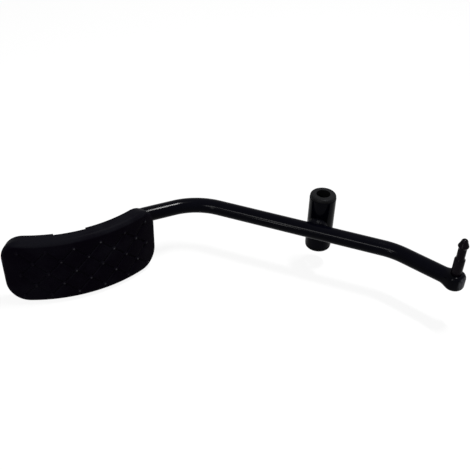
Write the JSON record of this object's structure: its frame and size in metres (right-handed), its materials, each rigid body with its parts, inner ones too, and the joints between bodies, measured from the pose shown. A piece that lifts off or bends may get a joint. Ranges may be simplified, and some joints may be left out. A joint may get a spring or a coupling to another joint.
{
  "type": "accelerator pedal",
  "caption": "Accelerator pedal: bent rod lever with a welded pivot tube, a round arm whose upset eye carries a snap linkage pin, and a curved plate in a slip-on rubber pad.",
  "frame": {"origin": "middle of the pivot bore, halfway between the two bush flanges", "axes": "+Z along the pivot axis, to the side that the linkage pin points to; +X along the straight middle of the rod, towards the linkage pin; the foot side is -Y"},
  "size_m": [0.2614, 0.1235, 0.0624],
  "materials": {
    "painted_steel": "semi-gloss black paint",
    "weld": "painted over, rippled",
    "pin_steel": "satin black",
    "bush_plastic": "moulded black plastic",
    "rubber": "matt moulded rubber"
  },
  "bodies": {
    "root": {"lever_rod": "painted_steel", "pivot_tube": "painted_steel", "tube_weld": "weld", "bush_upper": "bush_plastic", "bush_lower": "bush_plastic", "linkage_pin": "pin_steel", "pad_plate": "painted_steel", "pad_weld_upper": "weld", "pad_weld_lower": "weld", "pad_cover": "rubber"}
  },
  "joints": []
}
